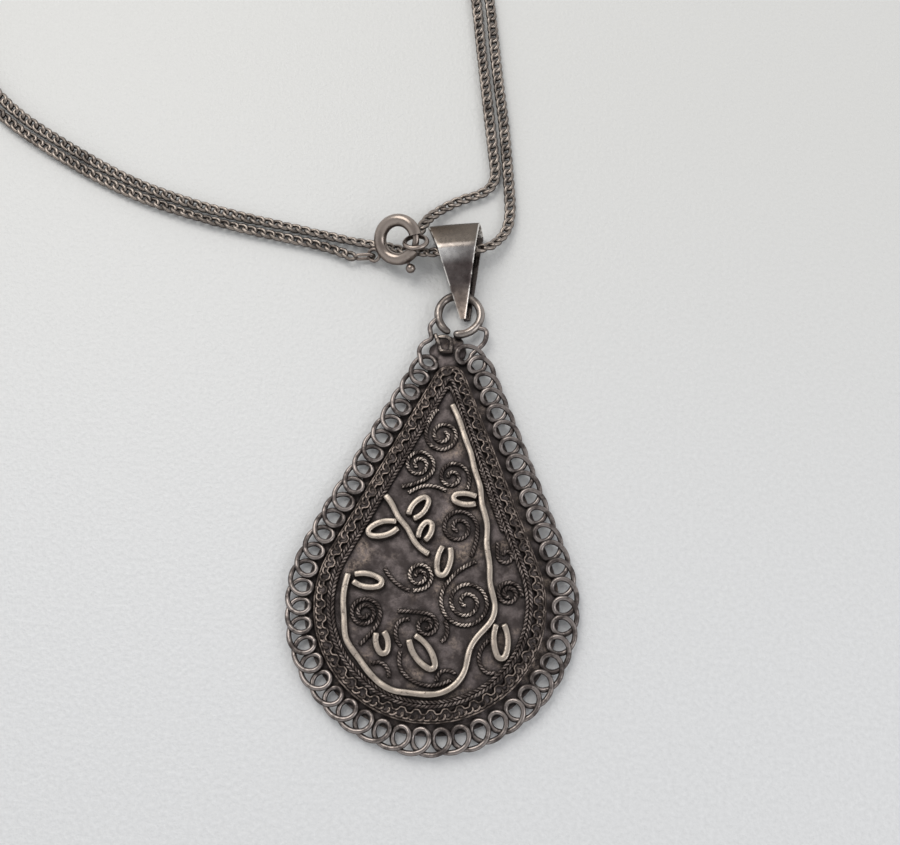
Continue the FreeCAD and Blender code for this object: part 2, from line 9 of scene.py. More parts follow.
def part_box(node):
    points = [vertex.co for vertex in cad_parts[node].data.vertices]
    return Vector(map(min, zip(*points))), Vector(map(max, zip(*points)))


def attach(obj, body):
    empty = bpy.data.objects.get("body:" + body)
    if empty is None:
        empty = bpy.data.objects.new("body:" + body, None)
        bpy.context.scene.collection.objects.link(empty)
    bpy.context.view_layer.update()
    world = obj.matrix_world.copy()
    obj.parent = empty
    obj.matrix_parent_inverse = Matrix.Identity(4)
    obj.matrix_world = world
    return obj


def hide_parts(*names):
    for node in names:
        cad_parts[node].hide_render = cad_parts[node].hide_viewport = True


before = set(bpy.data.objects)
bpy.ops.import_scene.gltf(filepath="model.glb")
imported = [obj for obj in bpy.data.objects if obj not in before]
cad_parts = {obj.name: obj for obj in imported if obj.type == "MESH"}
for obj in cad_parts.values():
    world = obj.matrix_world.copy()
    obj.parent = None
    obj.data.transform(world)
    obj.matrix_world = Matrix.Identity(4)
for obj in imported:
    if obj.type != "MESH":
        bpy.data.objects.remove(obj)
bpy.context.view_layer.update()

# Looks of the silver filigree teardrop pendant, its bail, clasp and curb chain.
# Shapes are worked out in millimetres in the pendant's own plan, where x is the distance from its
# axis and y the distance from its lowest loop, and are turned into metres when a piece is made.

MM = 0.001
UP = np.array([0.0, 0.0, 1.0])
random.seed(11)


# ---- what the CAD model gives ---------------------------------------------------------------
def node_box(node):
    """Lowest and highest corners of a CAD node, in millimetres."""
    low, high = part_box(node)
    return np.array(low) / MM, np.array(high) / MM


RIM_LOW, RIM_HIGH = node_box("rim_coil")
PLAN_Y = RIM_LOW[1]                             # model y of the lowest loop
BELLY_R = (RIM_HIGH[0] - RIM_LOW[0]) / 2
HEIGHT = RIM_HIGH[1] - RIM_LOW[1]
APEX_R = 5.2                                    # radius of the outline's apex
LEAN = math.asin((BELLY_R - APEX_R) / (HEIGHT - APEX_R - BELLY_R))
EDGE_IN = 2.1                                   # outer edge of the plate, in from the rim
FLANGE_IN = 3.2                                 # the flat flange ends here
FIELD_IN = 4.95                                 # the raised field begins here
INNER_X = -0.22                                 # the field and its borders sit a little to the left
SHIFT_IN = 2.6                                  # that shift begins this far in from the rim,
SHIFT_RUN = 0.6                                 # and is whole after this much more
FLANGE_Z = RIM_LOW[2]
FIELD_Z = node_box("base_plate")[1][2]
SMALLEST_APEX = 0.4                             # least apex radius of an outline moved in
CLASP_NODES = ("tag_link", "clasp_lug", "spring_ring_tube", "clasp_spring", "clasp_bolt",
               "thumb_knob", "end_ring")


# ---- geometry -------------------------------------------------------------------------------
class Solid:
    """Points in millimetres in the pendant's plan, and faces, gathered into one piece."""

    def __init__(self):
        self.points = []
        self.faces = []
        self.count = 0

    def add(self, points, faces):
        self.points.append(np.asarray(points, float))
        self.faces.extend([tuple(i + self.count for i in f) for f in faces])
        self.count += len(points)


def unit(v):
    return v / np.linalg.norm(v, axis=-1, keepdims=True)


def tangents(path, closed=False):
    if closed:
        return unit(np.roll(path, -1, axis=0) - np.roll(path, 1, axis=0))
    return unit(np.gradient(path, axis=0))


def round_section(radius, sides):
    a = np.linspace(0, 2 * math.pi, sides, endpoint=False)
    return np.stack([radius * np.cos(a), radius * np.sin(a)], axis=1)


def ring_faces(first, second, count, turned=False):
    """Faces between two rings of count points, which start at first and at second.

    turned winds them the other way.
    """
    faces = []
    for k in range(count):
        q = (k + 1) % count
        face = (first + k, first + q, second + q, second + k)
        faces.append((face[0], *reversed(face[1:])) if turned else face)
    return faces


def sweep(solid, path, section, up=UP, closed=False, scale=None):
    """Sweep a section given in (across, up) along a path. Open ends get a flat cap."""
    path = np.asarray(path, float)
    n, m = len(path), len(section)
    along = tangents(path, closed)
    across = unit(np.cross(along, np.broadcast_to(up, path.shape)))
    over = np.cross(across, along)
    scale = np.ones(n) if scale is None else np.asarray(scale, float)
    sized = section[None, :, :] * scale[:, None, None]
    points = path[:, None, :] + across[:, None, :] * sized[..., :1] + over[:, None, :] * sized[..., 1:]
    faces = []
    for i in range(n if closed else n - 1):
        faces.extend(ring_faces(i * m, (i + 1) % n * m, m, turned=True))
    if not closed:
        faces.append(tuple(range(m)))
        faces.append(tuple((n - 1) * m + k for k in reversed(range(m))))
    solid.add(points.reshape(-1, 3), faces)


def rounded_ends(path, radius, scale=None, steps=3):
    """Lengthen a path a little at both ends and give the scales that dome it."""
    path = np.asarray(path, float)
    scale = np.ones(len(path)) if scale is None else scale
    first = unit(path[0] - path[1])
    last = unit(path[-1] - path[-2])
    angles = [math.pi / 2 * (i + 1) / (steps + 0.4) for i in range(steps)]
    head = [path[0] + first * radius * math.sin(a) for a in reversed(angles)]
    tail = [path[-1] + last * radius * math.sin(a) for a in angles]
    domes = [math.cos(a) for a in angles]
    scale = np.concatenate([[dome * scale[0] for dome in reversed(domes)], scale,
                            [dome * scale[-1] for dome in domes]])
    return np.vstack([head, path, tail]), scale


def wire(solid, path, diameter, sides, up=UP, closed=False, scale=None):
    """Round wire, with domed ends where it is open."""
    if not closed:
        path, scale = rounded_ends(path, diameter / 2, scale)
    sweep(solid, path, round_section(diameter / 2, sides), up, closed, scale)


def resample(path, step):
    """Points about a step apart along a polyline, with their distance from its start."""
    path = np.asarray(path, float)
    run = np.concatenate([[0], np.cumsum(np.linalg.norm(np.diff(path, axis=0), axis=1))])
    s = np.linspace(0, run[-1], max(2, int(round(run[-1] / step)) + 1))
    return np.stack([np.interp(s, run, path[:, i]) for i in range(3)], axis=1), s


def rope(solid, path, diameter, lay, closed=False):
    """Two round strands twisted about a path, one full turn in each lay, or the other way round
    where the lay is negative."""
    points_per_lay = 9
    sides = 6
    strand_share = 0.54                         # a strand's diameter as a share of the rope's
    path, s = resample(path, abs(lay) / points_per_lay)
    if closed:
        path, s = path[:-1], s[:-1]
        total = s[-1] + (s[1] - s[0])
        lay = total / round(total / lay)
    along = tangents(path, closed)
    across = unit(np.cross(along, UP))
    over = np.cross(across, along)
    strand = diameter * strand_share
    reach = (diameter - strand) / 2
    for start in (0.0, math.pi):
        turn = start + 2 * math.pi * s / lay
        centre = path + across * (reach * np.cos(turn))[:, None] + over * (reach * np.sin(turn))[:, None]
        wire(solid, centre, strand, sides, closed=closed)


def blob(solid, centre, radius, height, sides=14, rings=6):
    """Small drop of solder, flat underneath."""
    points = []
    for i in range(rings):
        a = math.pi / 2 * i / rings
        for k in range(sides):
            b = 2 * math.pi * k / sides
            points.append([radius * math.cos(a) * math.cos(b), radius * math.cos(a) * math.sin(b),
                           height * math.sin(a)])
    points.append([0, 0, height])
    faces = [tuple(reversed(range(sides)))]
    for i in range(rings - 1):
        faces.extend(ring_faces(i * sides, (i + 1) * sides, sides))
    top = rings * sides
    for k in range(sides):
        faces.append(((rings - 1) * sides + k, (rings - 1) * sides + (k + 1) % sides, top))
    solid.add(np.array(points) + np.asarray(centre), faces)


def make_piece(name, solid, material, body, nodes=(), sharp=50):
    """Make a smooth shaded object of a solid, let it ride on a body and stand for CAD nodes."""
    points = np.vstack(solid.points)
    points[:, 1] += PLAN_Y
    data = bpy.data.meshes.new(name)
    data.from_pydata((points * MM).tolist(), [], solid.faces)
    data.validate()
    data.shade_smooth()
    data.set_sharp_from_angle(angle=math.radians(sharp))
    data.materials.append(material)
    piece = bpy.data.objects.new(name, data)
    bpy.context.scene.collection.objects.link(piece)
    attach(piece, body)
    if nodes:
        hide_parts(*nodes)
    return piece


# ---- the teardrop outline -------------------------------------------------------------------
def outline(inset, s):
    """Points, outward directions and total length of the outline moved in by inset.

    s is the distance clockwise from the apex, and the points have z = 0.
    """
    belly = BELLY_R - inset
    apex = max(APEX_R - inset, SMALLEST_APEX)
    apex_y = BELLY_R + (belly - apex) / math.sin(LEAN)
    side = (apex_y - BELLY_R) * math.cos(LEAN)
    apex_run = (math.pi / 2 - LEAN) * apex
    belly_run = (math.pi + 2 * LEAN) * belly
    total = 2 * apex_run + 2 * side + belly_run
    s = np.mod(np.asarray(s, float), total)
    marks = np.cumsum([0, apex_run, side, belly_run, side])
    angle = np.select(
        [s < marks[1], s < marks[2], s < marks[3], s < marks[4]],
        [math.pi / 2 - s / apex, LEAN + 0 * s, LEAN - (s - marks[2]) / belly, math.pi - LEAN + 0 * s],
        math.pi - LEAN - (s - marks[4]) / apex)
    on_apex = (s < marks[1]) | (s >= marks[4])
    radius = np.where(on_apex, apex, belly)
    centre = np.where(on_apex, apex_y, BELLY_R)
    x = radius * np.cos(angle)
    y = centre + radius * np.sin(angle)
    right = (s >= marks[1]) & (s < marks[2])
    left = (s >= marks[3]) & (s < marks[4])
    down = s - marks[1]
    up = s - marks[3]
    x = np.where(right, apex * math.cos(LEAN) + down * math.sin(LEAN), x)
    y = np.where(right, apex_y + apex * math.sin(LEAN) - down * math.cos(LEAN), y)
    x = np.where(left, -belly * math.cos(LEAN) + up * math.sin(LEAN), x)
    y = np.where(left, BELLY_R + belly * math.sin(LEAN) + up * math.cos(LEAN), y)
    x = x + INNER_X * min(max((inset - SHIFT_IN) / SHIFT_RUN, 0), 1)
    zero = np.zeros_like(x)
    return np.stack([x, y, zero], axis=1), np.stack([np.cos(angle), np.sin(angle), zero], axis=1), total


def slope_z(inset):
    """Height of the plate's upper surface at a distance in from the rim."""
    share = (inset - FLANGE_IN) / (FIELD_IN - FLANGE_IN)
    return FLANGE_Z + (FIELD_Z - FLANGE_Z) * min(max(share, 0), 1)


def round_path(inset, step, lift):
    """Closed path round the pendant at one distance in from the rim, lifted off the plate."""
    total = outline(inset, [0.0])[2]
    s = np.linspace(0, total, int(total / step), endpoint=False)
    points = outline(inset, s)[0]
    points[:, 2] = slope_z(inset) + lift
    return points


# ---- materials ------------------------------------------------------------------------------
SKY_SAMPLES = 6                     # rays that find how far a point lies in a hollow


def new_material(name):
    material = bpy.data.materials.new(name)
    material.use_nodes = True
    tree = material.node_tree
    return material, tree, tree.nodes["Principled BSDF"]


def add_node(tree, kind, **values):
    """Add a node; names that are inputs are set as inputs, and the rest as attributes."""
    node = tree.nodes.new(kind)
    for key, value in values.items():
        if key in node.inputs:
            node.inputs[key].default_value = value
        else:
            setattr(node, key, value)
    return node


def noise_node(tree, coordinates, scale, detail=3.0, rough=0.6):
    node = add_node(tree, "ShaderNodeTexNoise", Scale=scale, Detail=detail, Roughness=rough)
    tree.links.new(coordinates, node.inputs["Vector"])
    return node.outputs["Fac"]


def spread(tree, value, low, high, to_low=0.0, to_high=1.0):
    """Smooth step of a value between low and high."""
    node = add_node(tree, "ShaderNodeMapRange", interpolation_type="SMOOTHSTEP")
    tree.links.new(value, node.inputs["Value"])
    node.inputs["From Min"].default_value = low
    node.inputs["From Max"].default_value = high
    node.inputs["To Min"].default_value = to_low
    node.inputs["To Max"].default_value = to_high
    return node.outputs["Result"]


def combine(tree, operation, a, b):
    node = add_node(tree, "ShaderNodeMath", operation=operation)
    for socket, value in zip(node.inputs, (a, b)):
        if isinstance(value, (int, float)):
            socket.default_value = value
        else:
            tree.links.new(value, socket)
    return node.outputs[0]


def mix_colour(tree, factor, a, b):
    node = add_node(tree, "ShaderNodeMix", data_type="RGBA")
    tree.links.new(factor, node.inputs["Factor"])
    for socket, value in ((node.inputs[6], a), (node.inputs[7], b)):
        if isinstance(value, tuple):
            socket.default_value = (*value, 1.0)
        else:
            tree.links.new(value, socket)
    return node.outputs[2]


def silver(name, bright, dark, polish, rough, facing_up, cavity, grain, bump, patchy, pits=0.0,
           waves=0.0):
    """Worn silver: dark oxide in the hollows and low down, bright metal where it is rubbed.

    bright and dark are the two colours; polish shifts the balance towards bright metal; rough is
    (bright, dark) roughness; facing_up is the two heights of the surface's normal between which
    the rubbing starts; cavity is the reach in metres of the oxide in the hollows; grain is the
    fineness of the wear and bump the depth of its texture; patchy is how far the wear is broken
    into patches and pits how far it is pitted; waves is the unevenness of a hand worked surface.
    """
    material, tree, shader = new_material(name)
    place = add_node(tree, "ShaderNodeTexCoord")
    at = place.outputs["Object"]
    normal = add_node(tree, "ShaderNodeSeparateXYZ")
    tree.links.new(place.outputs["Normal"], normal.inputs[0])
    rubbed = spread(tree, normal.outputs["Z"], *facing_up)
    open_sky = add_node(tree, "ShaderNodeAmbientOcclusion", samples=SKY_SAMPLES, Distance=cavity)
    clear = spread(tree, open_sky.outputs["AO"], 0.35, 0.95)
    patches = spread(tree, noise_node(tree, at, grain, 4.0, 0.65), 0.33, 0.66, 1.0 - patchy, 1.0)
    wear = combine(tree, "MULTIPLY", combine(tree, "MULTIPLY", rubbed, clear), patches)
    wear = spread(tree, wear, 0.5 - 0.5 * polish, 1.15 - 0.6 * polish)
    if pits:
        pitted = spread(tree, noise_node(tree, at, grain * 4.5, 2.0, 0.5), 0.30, 0.40)
        wear = combine(tree, "MULTIPLY", wear, spread(tree, pitted, 0.0, 1.0, 1.0 - pits, 1.0))
    tint = mix_colour(tree, noise_node(tree, at, grain * 0.35, 2.0), dark,
                      tuple(min(1.0, c * 1.7) for c in dark))
    tree.links.new(mix_colour(tree, wear, tint, bright), shader.inputs["Base Color"])
    tree.links.new(spread(tree, wear, 0.0, 1.0, rough[1], rough[0]), shader.inputs["Roughness"])
    shader.inputs["Metallic"].default_value = 1.0
    rise = add_node(tree, "ShaderNodeBump", Strength=bump, Distance=0.00003)
    tree.links.new(noise_node(tree, at, grain * 3.0, 4.0, 0.7), rise.inputs["Height"])
    if waves:
        swell = add_node(tree, "ShaderNodeBump", Strength=waves, Distance=0.0004)
        tree.links.new(noise_node(tree, at, 260.0, 2.0, 0.5), swell.inputs["Height"])
        tree.links.new(swell.outputs["Normal"], rise.inputs["Normal"])
    tree.links.new(rise.outputs["Normal"], shader.inputs["Normal"])
    return material


def oxidised_sheet():
    """The plate's own sheet: dark purplish grey, with beige residue in a few patches, and nearly black
    beside the wires: partly oxide in the crevices, partly painted shade.
    """
    material, tree, shader = new_material("oxidised_sheet")
    at = add_node(tree, "ShaderNodeTexCoord").outputs["Object"]
    broad = spread(tree, noise_node(tree, at, 300.0, 3.0, 0.55), 0.50, 0.68)
    cloud = spread(tree, noise_node(tree, at, 700.0, 4.0, 0.6), 0.35, 0.68)
    fine = spread(tree, noise_node(tree, at, 2800.0, 4.0, 0.7), 0.35, 0.7)
    open_sky = add_node(tree, "ShaderNodeAmbientOcclusion", samples=SKY_SAMPLES, Distance=0.0006)
    clear = spread(tree, open_sky.outputs["AO"], 0.45, 1.0)
    colour = mix_colour(tree, cloud, (0.058, 0.046, 0.044), (0.150, 0.124, 0.121))
    colour = mix_colour(tree, combine(tree, "MULTIPLY", broad, fine), colour, (0.30, 0.235, 0.19))
    # Partly oxide in the crevices, partly painted shade: nearly black where the wires hide the sheet
    # from the sky.
    colour = mix_colour(tree, clear, (0.018, 0.014, 0.013), colour)
    tree.links.new(colour, shader.inputs["Base Color"])
    tree.links.new(spread(tree, cloud, 0.0, 1.0, 0.60, 0.40), shader.inputs["Roughness"])
    shader.inputs["Metallic"].default_value = 0.7
    rise = add_node(tree, "ShaderNodeBump", Strength=0.35, Distance=0.00004)
    tree.links.new(fine, rise.inputs["Height"])
    tree.links.new(rise.outputs["Normal"], shader.inputs["Normal"])
    return material


RIM_SILVER = silver(
    "rim_silver", bright=(0.32, 0.278, 0.258), dark=(0.058, 0.048, 0.045), polish=0.46,
    rough=(0.28, 0.46), facing_up=(-0.2, 0.85), cavity=0.0009, grain=700.0, bump=0.3, patchy=0.7,
    waves=0.3)
# Painted glints: a brighter copy of the dark rope silver, for the scrolls that catch the light.
ROPE_SILVER = silver(
    "rope_silver", bright=(0.56, 0.475, 0.415), dark=(0.060, 0.048, 0.044), polish=0.42,
    rough=(0.34, 0.52), facing_up=(0.05, 0.95), cavity=0.0003, grain=900.0, bump=0.4, patchy=0.75)
DARK_ROPE_SILVER = silver(
    "dark_rope_silver", bright=(0.26, 0.216, 0.196), dark=(0.060, 0.048, 0.044), polish=0.40,
    rough=(0.42, 0.55), facing_up=(0.05, 0.95), cavity=0.0003, grain=900.0, bump=0.5, patchy=0.8)
BORDER_SILVER = silver(
    "border_silver", bright=(0.37, 0.302, 0.264), dark=(0.068, 0.055, 0.049), polish=0.40,
    rough=(0.42, 0.60), facing_up=(0.1, 0.95), cavity=0.00028, grain=1100.0, bump=0.7, patchy=0.9)
VINE_SILVER = silver(
    "vine_silver", bright=(0.51, 0.44, 0.375), dark=(0.115, 0.092, 0.080), polish=0.72,
    rough=(0.36, 0.50), facing_up=(0.1, 0.85), cavity=0.0004, grain=800.0, bump=0.35, patchy=0.5,
    pits=0.7)
RING_SILVER = silver(
    "ring_silver", bright=(0.37, 0.325, 0.295), dark=(0.085, 0.072, 0.065), polish=0.5,
    rough=(0.26, 0.42), facing_up=(-0.2, 0.8), cavity=0.0009, grain=420.0, bump=0.2, patchy=0.7,
    waves=0.3)
CLASP_SILVER = silver(
    "clasp_silver", bright=(0.36, 0.302, 0.265), dark=(0.092, 0.072, 0.063), polish=0.66,
    rough=(0.25, 0.40), facing_up=(-0.2, 0.8), cavity=0.0014, grain=420.0, bump=0.15, patchy=0.45,
    waves=0.2)
CHAIN_SILVER = silver(
    "chain_silver", bright=(0.35, 0.300, 0.262), dark=(0.050, 0.042, 0.038), polish=0.5,
    rough=(0.28, 0.45), facing_up=(-0.2, 0.8), cavity=0.0007, grain=600.0, bump=0.2, patchy=0.5)
STRAP_SILVER = silver(
    "strap_silver", bright=(0.42, 0.36, 0.315), dark=(0.055, 0.045, 0.041), polish=0.42,
    rough=(0.30, 0.50), facing_up=(0.2, 0.98), cavity=0.0006, grain=1000.0, bump=0.8, patchy=0.9)
SHEET_SILVER = oxidised_sheet()


# ---- camera, floor and light ----------------------------------------------------------------
CAMERA_AT = Vector((3.93, -38.64, 124.0)) * MM
CAMERA_AIM = Vector((0.19, 6.33, 0.0)) * MM
LENS = 46.0
FLOOR_HALF = 1.5                    # metres from the floor's middle to its sides
FLOOR_DROP = 0.00002                # metres from the lowest metal down to the floor


def add_camera():
    data = bpy.data.cameras.new("camera")
    data.lens = LENS
    data.sensor_width = 36.0
    data.clip_start = 0.005
    camera = bpy.data.objects.new("camera", data)
    camera.location = CAMERA_AT
    camera.rotation_euler = (CAMERA_AIM - CAMERA_AT).to_track_quat("-Z", "Y").to_euler()
    bpy.context.scene.collection.objects.link(camera)
    bpy.context.scene.camera = camera


def add_floor():
    material, tree, shader = new_material("pale_floor")
    at = add_node(tree, "ShaderNodeTexCoord").outputs["Object"]
    speckle = noise_node(tree, at, 2100.0, 3.0, 0.6)
    split = add_node(tree, "ShaderNodeSeparateXYZ")
    tree.links.new(at, split.inputs[0])
    # Nearer the camera the floor is a little cooler and its speckle much stronger: the speckle is the
    # floor's grain, and its stronger contrast there is painted glints on that grain.
    near = mix_colour(tree, speckle, (0.655, 0.657, 0.661), (0.845, 0.847, 0.852))
    far = mix_colour(tree, speckle, (0.705, 0.70, 0.68), (0.745, 0.739, 0.72))
    colour = mix_colour(tree, spread(tree, split.outputs["Y"], -0.03, 0.06), near, far)
    tree.links.new(colour, shader.inputs["Base Color"])
    shader.inputs["Roughness"].default_value = 0.38
    rise = add_node(tree, "ShaderNodeBump", Strength=0.9, Distance=0.0001)
    tree.links.new(speckle, rise.inputs["Height"])
    tree.links.new(rise.outputs["Normal"], shader.inputs["Normal"])
    corners = [(x * FLOOR_HALF, y * FLOOR_HALF, 0) for x, y in ((-1, -1), (1, -1), (1, 1), (-1, 1))]
    data = bpy.data.meshes.new("floor")
    data.from_pydata(corners, [], [(0, 1, 2, 3)])
    data.materials.append(material)
    floor = bpy.data.objects.new("floor", data)
    floor.location.z = -FLOOR_DROP
    bpy.context.scene.collection.objects.link(floor)


def add_light(name, place, aim, size, power, colour):
    data = bpy.data.lights.new(name, "AREA")
    data.shape = "DISK"
    data.size = size
    data.energy = power
    data.color = colour
    light = bpy.data.objects.new(name, data)
    light.location = place
    light.rotation_euler = (Vector(aim) - Vector(place)).to_track_quat("-Z", "Y").to_euler()
    bpy.context.scene.collection.objects.link(light)


def add_world():
    """Even grey room, a little darker overhead, which the metal reflects."""
    world = bpy.data.worlds.new("room")
    world.use_nodes = True
    tree = world.node_tree
    background = tree.nodes["Background"]
    place = add_node(tree, "ShaderNodeTexCoord")
    split = add_node(tree, "ShaderNodeSeparateXYZ")
    tree.links.new(place.outputs["Generated"], split.inputs[0])
    high = spread(tree, split.outputs["Z"], 0.45, 0.98)
    colour = mix_colour(tree, high, (0.96, 0.98, 1.0), (0.55, 0.55, 0.56))
    tree.links.new(colour, background.inputs["Color"])
    background.inputs["Strength"].default_value = 0.76
    bpy.context.scene.world = world


def add_lights():
    add_light("key", place=(-0.25, 0.32, 0.55), aim=(0, 0, 0), size=0.5, power=1.75,
              colour=(1.0, 0.98, 0.94))
    add_light("fill", place=(0.45, -0.10, 0.40), aim=(0, 0, 0), size=0.35, power=0.6,
              colour=(0.95, 0.97, 1.0))


# ---- chain ----------------------------------------------------------------------------------
CHAIN_D = 1.3
CHAIN_Z = CHAIN_D / 2
LINK_LENGTH = 1.62                  # between the middles of the wire at the two ends
LINK_WIDTH = 0.98
LINK_WIRE = 0.47
LINK_PITCH = 1.16
LINK_TWIST = 0.9                    # radians between a link's two ends
LINK_ROLL = 0.10                    # most radians that one link turns out of line
FIRST_LINK = 0.55                   # middle of the first link, from the route's start
LAST_LINK = 0.25                    # middle of the last link, from the route's end
CHAIN_ROLLS = [(0.12, 7.1, 0.0), (0.22, 17.3, 1.0), (0.12, 3.9, 2.2), (0.20, 29.0, 0.0)]

LEFT_OUTER = [(-13.15, 56.9, 0.9), (-15.4, 57.85), (-18.9, 58.55), (-23.4, 59.2), (-28.2, 60.0),
              (-34.5, 61.3), (-42.0, 63.6), (-50.5, 67.6), (-59.6, 72.9)]
AROUND_OUTER = [(-66.8, 80.0), (-71.3, 90.5), (-70.8, 102.5), (-65.2, 113.3), (-56.0, 121.5),
                (-44.2, 126.6), (-31.3, 127.6), (-18.7, 124.2), (-8.0, 116.6), (-1.6, 106.3)]
TOP_OUTER = [(0.6, 96.0), (1.55, 89.6), (2.5, 83.6), (3.55, 78.0), (4.35, 72.4), (5.0, 67.6),
             (5.35, 64.3), (5.0, 61.9, 0.8), (3.9, 60.0, 1.4)]
UNDER_CLASP = [(-7.4, 58.25, 1.0)]
LEFT_INNER = [(-9.8, 58.85), (-12.4, 58.98), (-15.7, 59.5), (-19.6, 60.15), (-23.6, 60.8),
              (-28.2, 61.5), (-34.3, 62.8), (-41.4, 65.0), (-49.7, 69.0), (-58.9, 74.3)]
AROUND_INNER = [(-65.5, 81.2), (-69.7, 91.0), (-69.2, 102.2), (-63.9, 112.3), (-55.2, 120.1),
                (-43.9, 125.0), (-31.6, 126.0), (-19.4, 122.7), (-9.3, 115.5), (-3.2, 105.6)]
TOP_INNER = [(-1.15, 95.9), (-0.15, 89.2), (0.9, 83.2), (1.85, 77.6), (2.7, 72.6), (3.3, 69.4),
             (2.2, 67.2), (-1.0, 65.9), (-3.6, 63.9, 0.9), (-4.9, 61.9, 1.9), (-5.42, 60.0, 2.6)]
BAIL_TIP = np.array([0.65, 49.75, 0.0])
BAIL_TILT = math.radians(9.9)
PASSAGE = 8.4                       # from the bail's tip to the chain that runs through it
PASSAGE_Z = 2.2                     # height of the chain there
PASSAGE_HALF = 3.4                  # half of its stretch inside the bail


def bail_frame():
    """Directions along the bail, towards the chain, and across it to the right."""
    along = np.array([-math.sin(BAIL_TILT), math.cos(BAIL_TILT), 0.0])
    across = np.array([math.cos(BAIL_TILT), math.sin(BAIL_TILT), 0.0])
    return along, across


def chain_route():
    along, across = bail_frame()
    centre = BAIL_TIP + along * PASSAGE + UP * PASSAGE_Z
    before = LEFT_OUTER + AROUND_OUTER + TOP_OUTER
    passage = [tuple(centre + across * PASSAGE_HALF), tuple(centre - across * PASSAGE_HALF)]
    after = UNDER_CLASP + LEFT_INNER + AROUND_INNER + TOP_INNER
    lying = [p if len(p) > 2 else (*p, CHAIN_Z) for p in before + passage + after]
    return [(x * MM, (y + PLAN_Y) * MM, z * MM) for x, y, z in lying]


def smooth_line(points, order=3, detail=16):
    """Points of a NURBS spline with these control points, in metres."""
    data = bpy.data.curves.new("route", "CURVE")
    data.dimensions = "3D"
    spline = data.splines.new("NURBS")
    spline.points.add(len(points) - 1)
    for point, place in zip(spline.points, points):
        point.co = (*place, 1.0)
    spline.order_u = order
    spline.use_endpoint_u = True
    spline.resolution_u = detail
    carrier = bpy.data.objects.new("route", data)
    line = bpy.data.meshes.new_from_object(carrier)
    places = [tuple(v.co) for v in line.vertices]
    bpy.data.objects.remove(carrier)
    bpy.data.curves.remove(data)
    bpy.data.meshes.remove(line)
    return places


def chain_roll(s):
    """How far the chain has rolled about its own line, in radians, at a distance along it."""
    return sum(amount * math.sin(s / reach + phase) for amount, reach, phase in CHAIN_ROLLS)


def curb_link():
    """Centre line of one link, (along, across, over): an oval twisted about the chain's line."""
    a = np.linspace(0, 2 * math.pi, 22, endpoint=False)
    x = LINK_LENGTH / 2 * np.cos(a)
    y = LINK_WIDTH / 2 * np.sin(a)
    twist = LINK_TWIST / 2 * np.cos(a)
    return np.stack([x, y * np.cos(twist), y * np.sin(twist)], axis=1)


def add_chain():
    places = smooth_line(chain_route())
    line = np.array(places) / MM
    line[:, 1] -= PLAN_Y
    line, s = resample(line, 0.1)
    along = tangents(line)
    run = s[-1] - LAST_LINK - FIRST_LINK
    count = int(round(run / LINK_PITCH)) + 1
    pitch = run / (count - 1)
    oval = curb_link()
    solid = Solid()
    for i in range(count):
        at = FIRST_LINK + i * pitch
        centre = np.array([np.interp(at, s, line[:, k]) for k in range(3)])
        t = unit(np.array([np.interp(at, s, along[:, k]) for k in range(3)]))
        side = unit(np.cross(UP, t))
        over = np.cross(t, side)
        roll = chain_roll(at) + random.uniform(-LINK_ROLL, LINK_ROLL)
        side, over = (side * math.cos(roll) + over * math.sin(roll),
                      over * math.cos(roll) - side * math.sin(roll))
        path = centre + oval[:, :1] * t + oval[:, 1:2] * side + oval[:, 2:] * over
        wire(solid, path, LINK_WIRE, 7, up=over, closed=True)
    chain = make_piece("curb_chain", solid, CHAIN_SILVER, "chain", ["chain"], 180)


# ---- rim ------------------------------------------------------------------------------------
LOOP_WIRE = 0.5
LOOP_COUNT = 52
LOOP_OD = 3.0
LOOP_LIFT = 0.25                    # the wire rises and falls by this as it crosses itself
LOOP_STRETCH = 1.1                  # how much longer a loop is along the outline than across it
LOOP_VARY = 0.05                    # how uneven the loops are
RIM_WIRE = LOOP_WIRE + 0.07         # a little thicker than in CAD
RIM_START = 1.25                    # the coil begins this far clockwise from the apex
RIM_END = 3.55                      # and ends this far short of it
COIL_START = 6                      # points of the coil that the wire's first end replaces
COIL_END = 4                        # and those that its last end replaces
START_TAB = [(2.4, 48.75, 1.1), (3.2, 48.65, 1.15), (3.6, 48.3, 1.15), (3.55, 47.4, 1.1),
             (3.3, 46.7, 1.0)]
END_TAB = [(-4.2, 45.5, 0.8), (-3.7, 46.4, 0.9), (-2.7, 46.9, 1.0), (-2.95, 47.6, 1.1),
           (-3.15, 48.3, 1.1), (-2.95, 48.9, 1.1), (-2.5, 49.4, 1.1)]


def looped_line(inset, start, end, count, half_width, lift, z, stretch, vary, steps=30):
    """A flattened coil laid along the outline: each turn goes out on top and comes back beneath."""
    pitch = (end - start) / (count - 1)
    advance = pitch / (2 * math.pi)
    t = np.linspace(0.0, 2 * math.pi * count, steps * count + 1)
    turn = t / (2 * math.pi)
    wobble = np.array([random.uniform(-1, 1) for _ in range(count + 2)])
    size = 1 + vary * np.interp(turn, np.arange(count + 2), wobble)
    shift = vary * half_width * np.interp(turn, np.arange(count + 2), np.roll(wobble, 3))
    s = start - advance * math.pi + advance * t + half_width * stretch * size * np.sin(t) + shift
    out = half_width * size * np.cos(t)
    points, normals, _ = outline(inset, s)
    points = points + normals * out[:, None]
    points[:, 2] = z - lift * np.sin(t)
    return points


